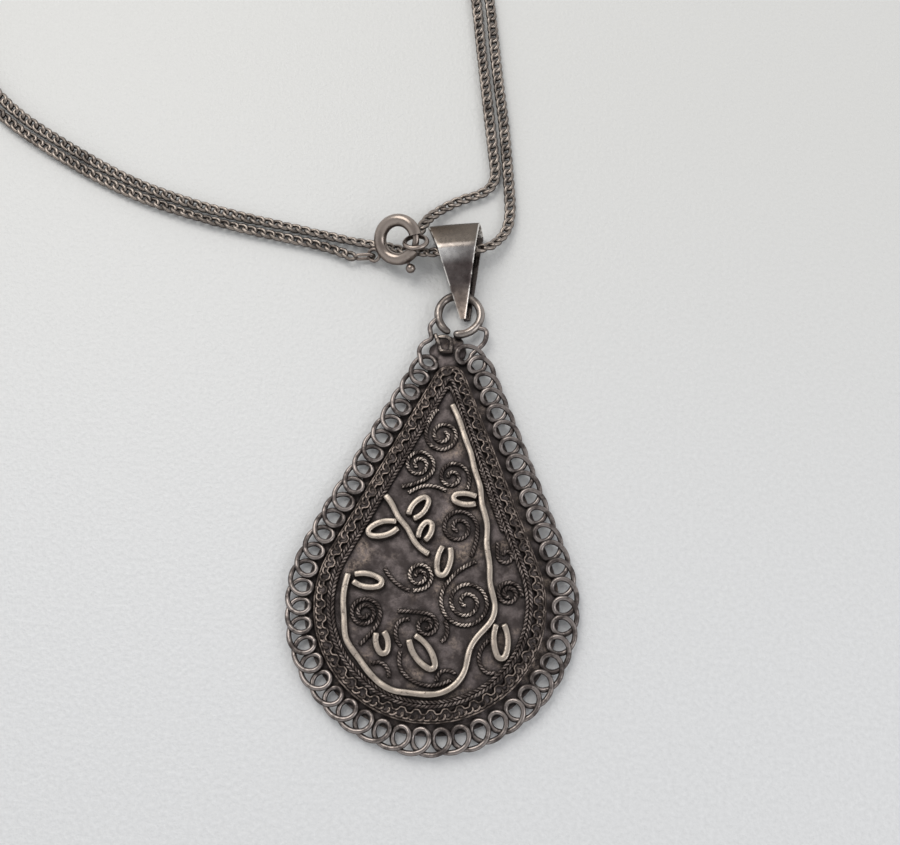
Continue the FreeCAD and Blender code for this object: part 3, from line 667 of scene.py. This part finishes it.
def add_rim():
    inset = LOOP_OD / 2
    total = outline(inset, [0.0])[2]
    z = (RIM_LOW[2] + RIM_HIGH[2]) / 2
    coil = looped_line(inset, RIM_START, total - RIM_END, LOOP_COUNT, (LOOP_OD - LOOP_WIRE) / 2,
                       LOOP_LIFT, z, LOOP_STRETCH, LOOP_VARY)
    whole = np.vstack([START_TAB, coil[COIL_START:-COIL_END], END_TAB])
    run = smooth_line([tuple(p * MM) for p in whole])
    solid = Solid()
    wire(solid, np.array(run) / MM, RIM_WIRE, 10)
    make_piece("rim_wire", solid, RIM_SILVER, "pendant",
               ["rim_coil", "rim_wire_start", "rim_wire_end"], 180)


# ---- borders --------------------------------------------------------------------------------
GUARD_IN = 3.4                      # each border's distance in from the rim
GRANULAR_IN = 3.87
WAVE_IN = 4.42
FIELD_ROPES = [(5.0, 0.95), (5.42, -0.95)]          # distance in and lay of each of two ropes
GUARD_WIRE = 0.3
GRANULAR_WIRE = 0.27
GRANULAR_PITCH = 0.74
GRANULAR_HALF = 0.27                # half width of its loops
GRANULAR_GAP = 0.3                  # from the apex to either end of it
FIELD_ROPE_WIRE = 0.5
WAVE_PERIOD = 1.5
WAVE_SWAY = 0.26
WAVE_LIFT = 0.22


def add_borders():
    guard = Solid()
    wire(guard, round_path(GUARD_IN, step=0.4, lift=0.1), GUARD_WIRE, 8, closed=True)
    make_piece("guard_border", guard, BORDER_SILVER, "pendant", ["guard_wire"], 180)

    granular = Solid()
    total = outline(GRANULAR_IN, [0.0])[2]
    coil = looped_line(GRANULAR_IN, GRANULAR_GAP, total - GRANULAR_GAP, int(total / GRANULAR_PITCH),
                       GRANULAR_HALF, lift=0.08, z=slope_z(GRANULAR_IN) + 0.13, stretch=0.95,
                       vary=0.18, steps=14)
    wire(granular, coil, GRANULAR_WIRE, 7)
    make_piece("granular_border", granular, BORDER_SILVER, "pendant",
               ["granular_twist"], 180)

    wave = Solid()
    add_wave(wave, WAVE_IN, WAVE_PERIOD, WAVE_SWAY)
    make_piece("wave_border", wave, BORDER_SILVER, "pendant", ["wave_ribbon"], 40)

    ropes = Solid()
    for inset, lay in FIELD_ROPES:
        path = round_path(inset, step=0.2, lift=0.26)
        rope(ropes, np.vstack([path, path[:1]]), FIELD_ROPE_WIRE, lay, closed=True)
    make_piece("field_rope_border", ropes, DARK_ROPE_SILVER, "pendant",
               ["field_rope"], 180)


def add_wave(solid, inset, period, sway):
    """Ribbon on edge, bent to and fro along the outline."""
    total = outline(inset, [0.0])[2]
    waves = round(total / period)
    s = np.linspace(0, total, waves * 14, endpoint=False)
    points, normals, _ = outline(inset, s)
    phase = 2 * math.pi * waves * s / total
    swing = sway * (np.sin(phase) + 0.18 * np.sin(3 * phase))
    points = points + normals * swing[:, None]
    points[:, 2] = slope_z(inset) + WAVE_LIFT
    half, low, high = 0.1, -0.25, 0.28
    section = np.array([(-half, low), (half, low), (half, high - 0.06), (half * 0.5, high),
                        (-half * 0.5, high), (-half, high - 0.06)])
    sweep(solid, points, section, closed=True)


# ---- scrolls and vine -----------------------------------------------------------------------
def curl(outer, inner, quarters, side=1):
    """Moves of a spiral whose radius shrinks from outer to inner; side 1 turns left."""
    moves = []
    for i in range(quarters):
        radius = outer + (inner - outer) * i / max(quarters - 1, 1)
        moves.append((radius * math.pi / 2, 90 * side))
    return moves


LEAF_TIP = 0.47                     # bend at a leaf's tip


def leaf(length, bulge):
    """Moves round a leaf: out along one edge, round its tip and back. An edge turns 2 * bulge."""
    half = math.radians(bulge)
    edge = length * half / math.sin(half)
    return [(edge, -2 * bulge), (LEAF_TIP * (math.pi - 2 * half), 2 * bulge - 180), (edge, -2 * bulge)]


SCROLLS = {
    "apex_scroll": ((-1.35, 38.05), -126, [(2.9, 30)] + curl(1.85, 0.5, 7)),
    "upper_left_scroll": ((-4.4, 28.65), 12, [(2.6, 22), (1.4, 40)] + curl(1.62, 0.45, 7)),
    "upper_right_scroll": ((2.8, 28.95), 72, [(1.5, 30)] + curl(1.7, 1.1, 3) + curl(0.85, 0.5, 3)),
    "middle_scroll": ((3.8, 21.4), 68, [(2.4, 22), (0.6, 0)] + curl(1.95, 0.5, 7)),
    "right_small_scroll": ((6.6, 23.1), -88, [(1.3, 0)] + curl(0.88, 0.4, 4)),
    "right_curl": ((9.6, 17.5), 100, [(0.6, 15)] + curl(1.3, 0.4, 7)),
    "centre_small_scroll": ((-2.05, 17.1), 5, [(1.0, 20)] + curl(1.42, 0.4, 7)),
    "big_spiral": ((4.3, 20.8), 205, [(4.0, 35), (1.8, 30)] + curl(2.62, 0.5, 9)),
    "left_scroll": ((-7.2, 10.9), 48, [(2.3, 10), (1.5, 32)] + curl(1.62, 0.45, 8)),
    "lower_scroll": ((-3.5, 14.75), 4, [(3.1, -8)] + curl(1.2, 0.45, 6, -1)),
}
ROPES = {
    "upper_arch": [(-3.6, 28.0), (-2.6, 28.8), (-1.4, 29.1), (-0.4, 28.9), (0.4, 28.6)],
    "link_arc": [(-5.4, 19.2), (-4.6, 18.0), (-3.5, 17.3), (-2.6, 17.1)],
    "lower_left_hook": [(-5.7, 9.0), (-4.9, 9.5), (-3.9, 8.9), (-3.8, 7.8)],
    "lower_arc": [(-2.9, 10.4), (-3.1, 9.0), (-2.0, 7.8), (-0.3, 7.1), (1.4, 7.15), (2.6, 7.9)],
    "lower_hook": [(1.2, 7.8), (1.2, 8.8), (2.1, 9.2), (3.1, 8.7)],
    "lower_right_crescent": [(6.3, 12.4), (5.3, 11.3), (5.4, 9.6), (6.4, 8.8), (7.3, 9.1)],
    "low_left_rope": [(-2.3, 14.0), (-3.4, 13.9), (-3.8, 12.6), (-3.4, 11.5), (-2.9, 11.1)],
    "low_right_rope": [(1.6, 14.0), (2.1, 13.2), (1.9, 12.2), (1.4, 11.9)],
}
STEMS = {
    "vine_stem": [(0.35, 38.6), (1.4, 36.8), (1.9, 35.0), (3.0, 33.0), (3.3, 31.2), (4.35, 29.2),
                  (4.4, 27.2), (5.5, 25.0), (5.2, 22.8), (6.0, 20.6), (5.9, 18.4), (6.9, 16.4),
                  (6.7, 14.4), (5.3, 13.0), (4.2, 11.2), (4.3, 9.0), (3.0, 7.0), (0.9, 6.1),
                  (-1.6, 6.3), (-3.6, 6.2), (-5.9, 7.8), (-7.2, 9.5), (-9.0, 11.2), (-9.1, 13.6),
                  (-9.75, 16.0), (-9.3, 18.2)],
    "vine_fan_stem": [(-0.9, 21.2), (-2.4, 21.9), (-3.2, 24.0), (-4.7, 24.9), (-5.2, 26.4),
                      (-6.1, 27.3)],
}
VINE = {
    "vine_left_leaf": ((-8.5, 18.3), -6 + 24, leaf(2.7, 24)),
    "vine_low_leaf": ((-1.4, 12.2), -50 + 26, leaf(3.6, 26)),
    "vine_right_leaf": ((7.9, 14.1), -84 + 22, leaf(3.2, 22)),
    "vine_upper_leaf": ((3.75, 27.2), 178 + 20, leaf(2.1, 20)),
    "vine_lower_leaf": ((-4.75, 12.3), -74 + 24, leaf(1.9, 24)),
    "vine_middle_leaf": ((1.47, 21.97), -96 + 22, leaf(2.8, 22)),
    "vine_fan_top_leaf": ((-3.4, 25.5), 55 + 28, leaf(2.4, 28)),
    "vine_fan_left_leaf": ((-4.5, 23.7), 200 + 28, leaf(2.9, 28)),
    "vine_fan_right_leaf": ((-2.1, 23.0), 70 + 24, leaf(1.7, 24)),
}
SCROLL_WIRE = 0.52
SCROLL_LAY = 0.8
SCROLL_LIFT = 0.22                  # middle of the rope over the field
SIDE_ROPE_IN = (0.25, 0.1)          # ends of the side rope's line, in from its corners
# Ropes that get the brighter copy of the rope silver, with painted glints.
GLINTING_ROPES = ("apex_scroll", "upper_left_scroll", "upper_right_scroll", "upper_arch", "big_spiral",
                "centre_small_scroll")
VINE_WIDTH = 0.68
VINE_HEIGHT = 0.75
VINE_STEP = 0.15
VINE_END = 0.25                     # how far a wire's rounded end stands out
VINE_UNEVEN = 0.09                  # how much its thickness varies


def drawn_path(start, heading, moves, z, step=0.12):
    """Points along tangent arcs and lines: each move is (length, degrees turned to the left)."""
    at = np.array([start[0], start[1]], float)
    angle = math.radians(heading)
    points = [np.array([*at, z])]
    for length, turn in moves:
        pieces = max(2, int(length / step))
        for _ in range(pieces):
            part = math.radians(turn) / pieces
            middle = angle + part / 2
            chord = length / pieces
            at = at + np.array([math.cos(middle), math.sin(middle)]) * chord
            angle += part
            points.append(np.array([*at, z]))
    return np.array(points)


def rope_piece(name, path):
    solid = Solid()
    rope(solid, path, SCROLL_WIRE, SCROLL_LAY)
    # The brighter copy is painted glints; the darker one is the ropes' own tone.
    material = ROPE_SILVER if name in GLINTING_ROPES else DARK_ROPE_SILVER
    make_piece(name + "_rope", solid, material, "pendant", [name], 180)


def curved_path(points, z):
    """Points of the smooth path with these control points."""
    line = smooth_line([(x * MM, y * MM, z * MM) for x, y in points], order=4, detail=60)
    return np.array(line) / MM


def add_scrolls():
    z = FIELD_Z + SCROLL_LIFT
    for name, (start, heading, moves) in SCROLLS.items():
        rope_piece(name, drawn_path(start, heading, moves, z))
    for name, points in ROPES.items():
        rope_piece(name, curved_path(points, z))
    low, high = node_box("side_rope")
    in_x, in_y = SIDE_ROPE_IN
    top = (low[0] + in_x, high[1] - PLAN_Y - in_y, z)
    bottom = (high[0] - in_x, low[1] - PLAN_Y + in_y, z)
    rope_piece("side_rope", np.array([top, bottom]))


def vine_section():
    """Rectangular wire with its upper edges worn round, in (across, up)."""
    half, top, edge = VINE_WIDTH / 2, VINE_HEIGHT, 0.2
    section = [(-half, -0.05), (half, -0.05), (half, top - edge)]
    for degrees in (30, 60, 90):
        a = math.radians(degrees)
        section.append((half - edge + edge * math.cos(a), top - edge + edge * math.sin(a)))
    mirrored = [(-x, y) for x, y in reversed(section[2:])]
    return np.array(section + mirrored)


def add_vine():
    paths = {name: drawn_path(start, heading, moves, FIELD_Z, VINE_STEP)
             for name, (start, heading, moves) in VINE.items()}
    for name, points in STEMS.items():
        paths[name] = resample(curved_path(points, FIELD_Z), VINE_STEP)[0]
    for name, path in paths.items():
        solid = Solid()
        seed = random.uniform(0, 50)
        size = [1 + VINE_UNEVEN * noise.noise(Vector((p[0] * 0.7, p[1] * 0.7, seed))) for p in path]
        path, size = rounded_ends(path, VINE_END, np.array(size))
        sweep(solid, path, vine_section(), scale=size)
        make_piece(name + "_wire", solid, VINE_SILVER, "pendant", [name], 60)


# ---- plate ----------------------------------------------------------------------------------
PLATE_SHEET = 0.5
PLATE_AROUND = 640                  # points in each ring of its mesh
PLATE_INSETS = [EDGE_IN, 2.4, 2.8, 3.1, 3.25, 3.4, 3.55, 3.7, 3.85, 4.0, 4.15, 4.3, 4.45, 4.6, 4.75,
                4.9, 5.1]
FIELD_RINGS = 48                    # rings over the field, which close on its spine
SPINE_LOW = 15.9
SPINE_HIGH = 39.0
DENTS = [(0.035, 1.2, 3.0), (0.012, 4.5, 9.0)]      # depth, how many to a millimetre, and seed
GRIME = [(0.12, 2.4, 1.0), (0.06, 6.0, 5.0)]
GRIME_DEPTH = 0.13
FLANGE_DENTS = 0.3                  # depth of the flange's dents as a share of the field's


def plate_height(x, y, inset):
    """Upper surface of the dented, dirty sheet, with grime between the borders."""
    grimy = FLANGE_IN < inset < FIELD_IN + 0.1
    rough = GRIME_DEPTH if grimy else 0.0
    for depth, per_mm, seed in DENTS + (GRIME if grimy else []):
        rough += depth * noise.noise(Vector((x * per_mm, y * per_mm, seed)))
    return slope_z(inset) + rough * (1.0 if inset > FLANGE_IN else FLANGE_DENTS)


def plate_rings():
    """Rings of (x, y, distance in from the rim), from the plate's edge to the field's spine."""
    rings = []
    for inset in PLATE_INSETS:
        total = outline(inset, [0.0])[2]
        ring = outline(inset, np.linspace(0, total, PLATE_AROUND, endpoint=False))[0]
        rings.append([(x, y, inset) for x, y, _ in ring])
    edge = rings[-1]
    for i in range(1, FIELD_RINGS + 1):
        share = i / FIELD_RINGS
        ring = []
        for x, y, _ in edge:
            aim_y = min(max(y, SPINE_LOW), SPINE_HIGH)
            ring.append((x + (INNER_X - x) * share, y + (aim_y - y) * share, FIELD_IN + 1))
        rings.append(ring)
    return rings


def add_plate():
    rings = plate_rings()
    upper = [(x, y, plate_height(x, y, inset)) for ring in rings for x, y, inset in ring]
    lower = [(x, y, max(0.0, slope_z(inset) - PLATE_SHEET)) for ring in rings for x, y, inset in ring]
    under = len(upper)
    faces = []
    for first in range(0, under - PLATE_AROUND, PLATE_AROUND):
        faces.extend(ring_faces(first, first + PLATE_AROUND, PLATE_AROUND))
    for first in range(under, 2 * under - PLATE_AROUND, PLATE_AROUND):
        faces.extend(ring_faces(first, first + PLATE_AROUND, PLATE_AROUND, turned=True))
    faces.extend(ring_faces(0, under, PLATE_AROUND, turned=True))
    solid = Solid()
    solid.add(upper + lower, faces)
    make_piece("plate_sheet", solid, SHEET_SILVER, "pendant",
               ["base_plate"], 60)


# ---- bail, ring and strap -------------------------------------------------------------------
BAIL_SHEET = 0.34
BAIL_EDGE = 0.13                                # its worn edges reach this far in
BAIL_CROWN = 0.05                               # and it is this much higher along its middle
BAIL_LINE = [(0.1, 0.92), (1.75, 1.67), (4.0, 2.49), (7.6, 3.79), (8.15, 3.99), (8.9, 3.83),
             (10.9, 3.27), (11.33, 3.13), (11.38, 2.6), (11.08, 0.8), (11.0, 0.3), (10.5, 0.23),
             (6.0, 0.23), (1.6, 0.23), (0.1, 0.3)]
BACK_SLIP = 0.6                                 # the back sheet stands out to the right by this
SLIP_TOP = 3.0                                  # on the floor, and by nothing from this height up
TIP_HALF = 0.36                                 # half widths at the tip and where the fold begins
FOLD_HALF = 2.3
FOLD_AT = 8.2                                   # from the tip
BAIL_HALF_WIDTHS = [(0, TIP_HALF), (FOLD_AT, FOLD_HALF), (11.5, 3.15)]
BAIL_TAPER = (FOLD_HALF - TIP_HALF) / FOLD_AT
RING_OD = 6.0
RING_WIRE = 1.0
RING_CENTRE = np.array([0.2, 50.2, 1.1])
RING_FROM = -91.0                               # degrees round it from one end to the other
RING_TO = 239.0
RING_BEND = 0.03                                # how far it is out of round
RING_WORN = 0.97                                # its wire's thickness as a share of CAD's


def band_section(half, thick, edge, crown):
    """Sheet's section in (across, up), a little domed, with worn round edges."""
    flat = np.linspace(-1, 1, 9)
    top = [(u * (half - edge), thick / 2 + crown * (1 - u * u)) for u in flat]
    bottom = [(-u * (half - edge), -thick / 2 + crown * (1 - u * u)) for u in flat]
    turn = np.radians([60, 30, 0, -30, -60])
    right = [(half - edge + edge * math.cos(a), thick / 2 * math.sin(a)) for a in turn]
    left = [(-x, -y) for x, y in right]
    return np.array(top + right + bottom + left)


def folded_sheet():
    """The bail's polished sheet, with its light and shade painted into the colour: painted shade over
    the top and half way down, a painted highlight at the fold, painted highlights along the edges and
    painted shade on the low back sheet.
    """
    material, tree, shader = new_material("bail_silver_painted_sheen")
    at = add_node(tree, "ShaderNodeTexCoord").outputs["Object"]
    tip = BAIL_TIP + np.array([0, PLAN_Y, 0])
    down, over = [], []
    for direction, found in zip(bail_frame(), (down, over)):
        dot = add_node(tree, "ShaderNodeVectorMath", operation="DOT_PRODUCT")
        tree.links.new(at, dot.inputs[0])
        dot.inputs[1].default_value = tuple(direction)
        found.append(dot.outputs["Value"])
        found.append(float(tip @ direction))

    def share(line, low, high, to_low=0.0, to_high=1.0):
        """Smooth step between two distances along a line from the tip, in millimetres."""
        value, start = line
        return spread(tree, value, (start + low) * MM, (start + high) * MM, to_low, to_high)

    cloud = spread(tree, noise_node(tree, at, 420.0, 4.0, 0.6), 0.3, 0.7)
    fine = spread(tree, noise_node(tree, at, 1800.0, 3.0, 0.6), 0.35, 0.65)
    # Painted shade: the sheet's base colour is dark, in cloudy patches.
    colour = mix_colour(tree, cloud, (0.095, 0.076, 0.073), (0.20, 0.172, 0.165))
    # Painted reflection: lighter towards the tip, fading into the painted shade by 4.4 mm from it.
    lower = combine(tree, "MULTIPLY", share(down, 0.5, 4.4, 1.0, 0.0),
                    spread(tree, cloud, 0.0, 1.0, 0.35, 1.0))
    colour = mix_colour(tree, lower, colour, (0.72, 0.58, 0.48))
    # Painted highlight: a bright band just below the fold, strongest on the left.
    bright = combine(tree, "MULTIPLY", share(down, 5.9, 7.6), share(over, -1.9, 1.7, 1.0, 0.2))
    colour = mix_colour(tree, bright, colour, (0.86, 0.84, 0.82))
    # Painted sheen on the fold itself, then painted shade just above it.
    colour = mix_colour(tree, share(down, 7.8, 8.1), colour, (0.42, 0.37, 0.335))
    colour = mix_colour(tree, share(down, 8.3, 8.7), colour, (0.20, 0.168, 0.142))
    # Painted shade over the top, darkest on the left.
    colour = mix_colour(tree, combine(tree, "MULTIPLY", share(down, 8.8, 11.2),
                                      share(over, -2.8, 3.2, 1.0, 0.3)), colour, (0.085, 0.065, 0.050))
    # Painted highlight along both edges of the sheet, whose half width grows from the tip to the fold.
    away = combine(tree, "ABSOLUTE", combine(tree, "SUBTRACT", over[0], over[1] * MM), 0.0)
    half = combine(tree, "MULTIPLY", combine(tree, "SUBTRACT", down[0], down[1] * MM), BAIL_TAPER)
    half = combine(tree, "ADD", half, TIP_HALF * MM)
    edge = spread(tree, combine(tree, "SUBTRACT", half, away), 0.00002, 0.00018, 1.0, 0.0)
    colour = mix_colour(tree, combine(tree, "MULTIPLY", edge, spread(tree, cloud, 0.1, 0.5)),
                        colour, (0.92, 0.88, 0.83))
    # Painted shade: the back sheet, low under the front one, is dark, and none of the painted highlights
    # show on it.
    dark = mix_colour(tree, fine, (0.075, 0.062, 0.056), (0.10, 0.085, 0.078))
    height = add_node(tree, "ShaderNodeSeparateXYZ")
    tree.links.new(at, height.inputs[0])
    colour = mix_colour(tree, spread(tree, height.outputs["Z"], 0.5 * MM, 0.65 * MM), dark, colour)
    tree.links.new(colour, shader.inputs["Base Color"])
    tree.links.new(spread(tree, fine, 0.0, 1.0, 0.22, 0.36), shader.inputs["Roughness"])
    shader.inputs["Metallic"].default_value = 1.0
    rise = add_node(tree, "ShaderNodeBump", Strength=0.25, Distance=0.0002)
    tree.links.new(noise_node(tree, at, 300.0, 3.0, 0.5), rise.inputs["Height"])
    tree.links.new(rise.outputs["Normal"], shader.inputs["Normal"])
    return material


def add_bail():
    along, across = bail_frame()
    side = np.array(smooth_line([(a * MM, 0.0, b * MM) for a, b in BAIL_LINE])) / MM
    side = resample(side, 0.22)[0]
    t = tangents(side)
    path = BAIL_TIP + side[:, :1] * along + side[:, 2:] * UP
    heading = t[:, :1] * along + t[:, 2:] * UP
    over = np.cross(across, heading)
    fold = np.argmax(side[:, 0])
    points = []
    for i, (s, _, _) in enumerate(side):
        half = np.interp(s, *zip(*BAIL_HALF_WIDTHS))
        section = band_section(half, BAIL_SHEET, BAIL_EDGE, BAIL_CROWN)
        slip = across * BACK_SLIP * (1 - min(path[i][2] / SLIP_TOP, 1)) * (i > fold)
        points.extend(path[i] + slip + section[:, :1] * across + section[:, 1:] * over[i])
    m = len(section)
    faces = [tuple(reversed(range(m))), tuple(len(points) - m + k for k in range(m))]
    for i in range(len(side) - 1):
        faces.extend(ring_faces(i * m, (i + 1) * m, m))
    solid = Solid()
    solid.add(points, faces)
    make_piece("bail_sheet", solid, folded_sheet(), "bail", ["bail"], 60)


def add_ring():
    a = np.radians(np.linspace(RING_FROM, RING_TO, 90))
    radius = (RING_OD - RING_WIRE) / 2 + RING_BEND * np.sin(3 * a + 1.0)
    path = RING_CENTRE + np.stack([radius * np.cos(a), radius * np.sin(a), 0 * a], axis=1)
    size = 1 - 0.12 * np.exp(-(RING_TO - np.degrees(a)) / 12) + 0.03 * np.sin(7 * a)
    solid = Solid()
    wire(solid, path, RING_WIRE * RING_WORN, 14, scale=size)
    make_piece("open_ring", solid, RING_SILVER, "pendant", ["pendant_ring"], 180)


STRAP_BARS = [
    [(-2.35, 47.35, 1.2), (-2.15, 46.8, 1.4), (-1.9, 46.2, 1.35), (-1.65, 45.6, 1.05)],
    [(-2.1, 47.1, 1.1), (-1.2, 47.3, 1.3), (-0.5, 46.9, 1.25), (-0.4, 46.3, 1.2), (-0.45, 45.7, 1.0)],
    [(-1.6, 45.5, 1.0), (-1.0, 45.35, 1.1), (-0.4, 45.5, 1.0)],
]
STRAP_WIRE = 0.52
SOLDER = [(-0.9, 46.2, 1.6, 0.3), (0.1, 46.9, 0.9, 0.4), (0.1, 45.8, 1.3, 0.35),
          (-1.9, 45.7, 1.1, 0.3), (-0.6, 45.0, 1.5, 0.35)]          # x, y, radius and height
SOLDER_Z = 0.2


def add_strap():
    solid = Solid()
    for bar in STRAP_BARS:
        line = np.array(smooth_line([tuple(c * MM for c in p) for p in bar])) / MM
        wire(solid, resample(line, 0.12)[0], STRAP_WIRE, 10)
    make_piece("strap_frame", solid, STRAP_SILVER, "pendant", ["hanger_strap"],
               180)
    solder = Solid()
    for x, y, radius, height in SOLDER:
        blob(solder, (x, y, SOLDER_Z), radius, height)
    make_piece("apex_solder", solder, SHEET_SILVER, "pendant", (), 180)


# ---- making ---------------------------------------------------------------------------------
bpy.context.scene.view_settings.view_transform = "Standard"
add_camera()
add_chain()
add_floor()
add_world()
add_lights()
add_rim()
add_borders()
add_scrolls()
add_vine()
add_plate()
add_bail()
add_ring()
add_strap()

for node in CLASP_NODES:
    for place in bpy.data.objects[node].material_slots:
        place.material = CLASP_SILVER
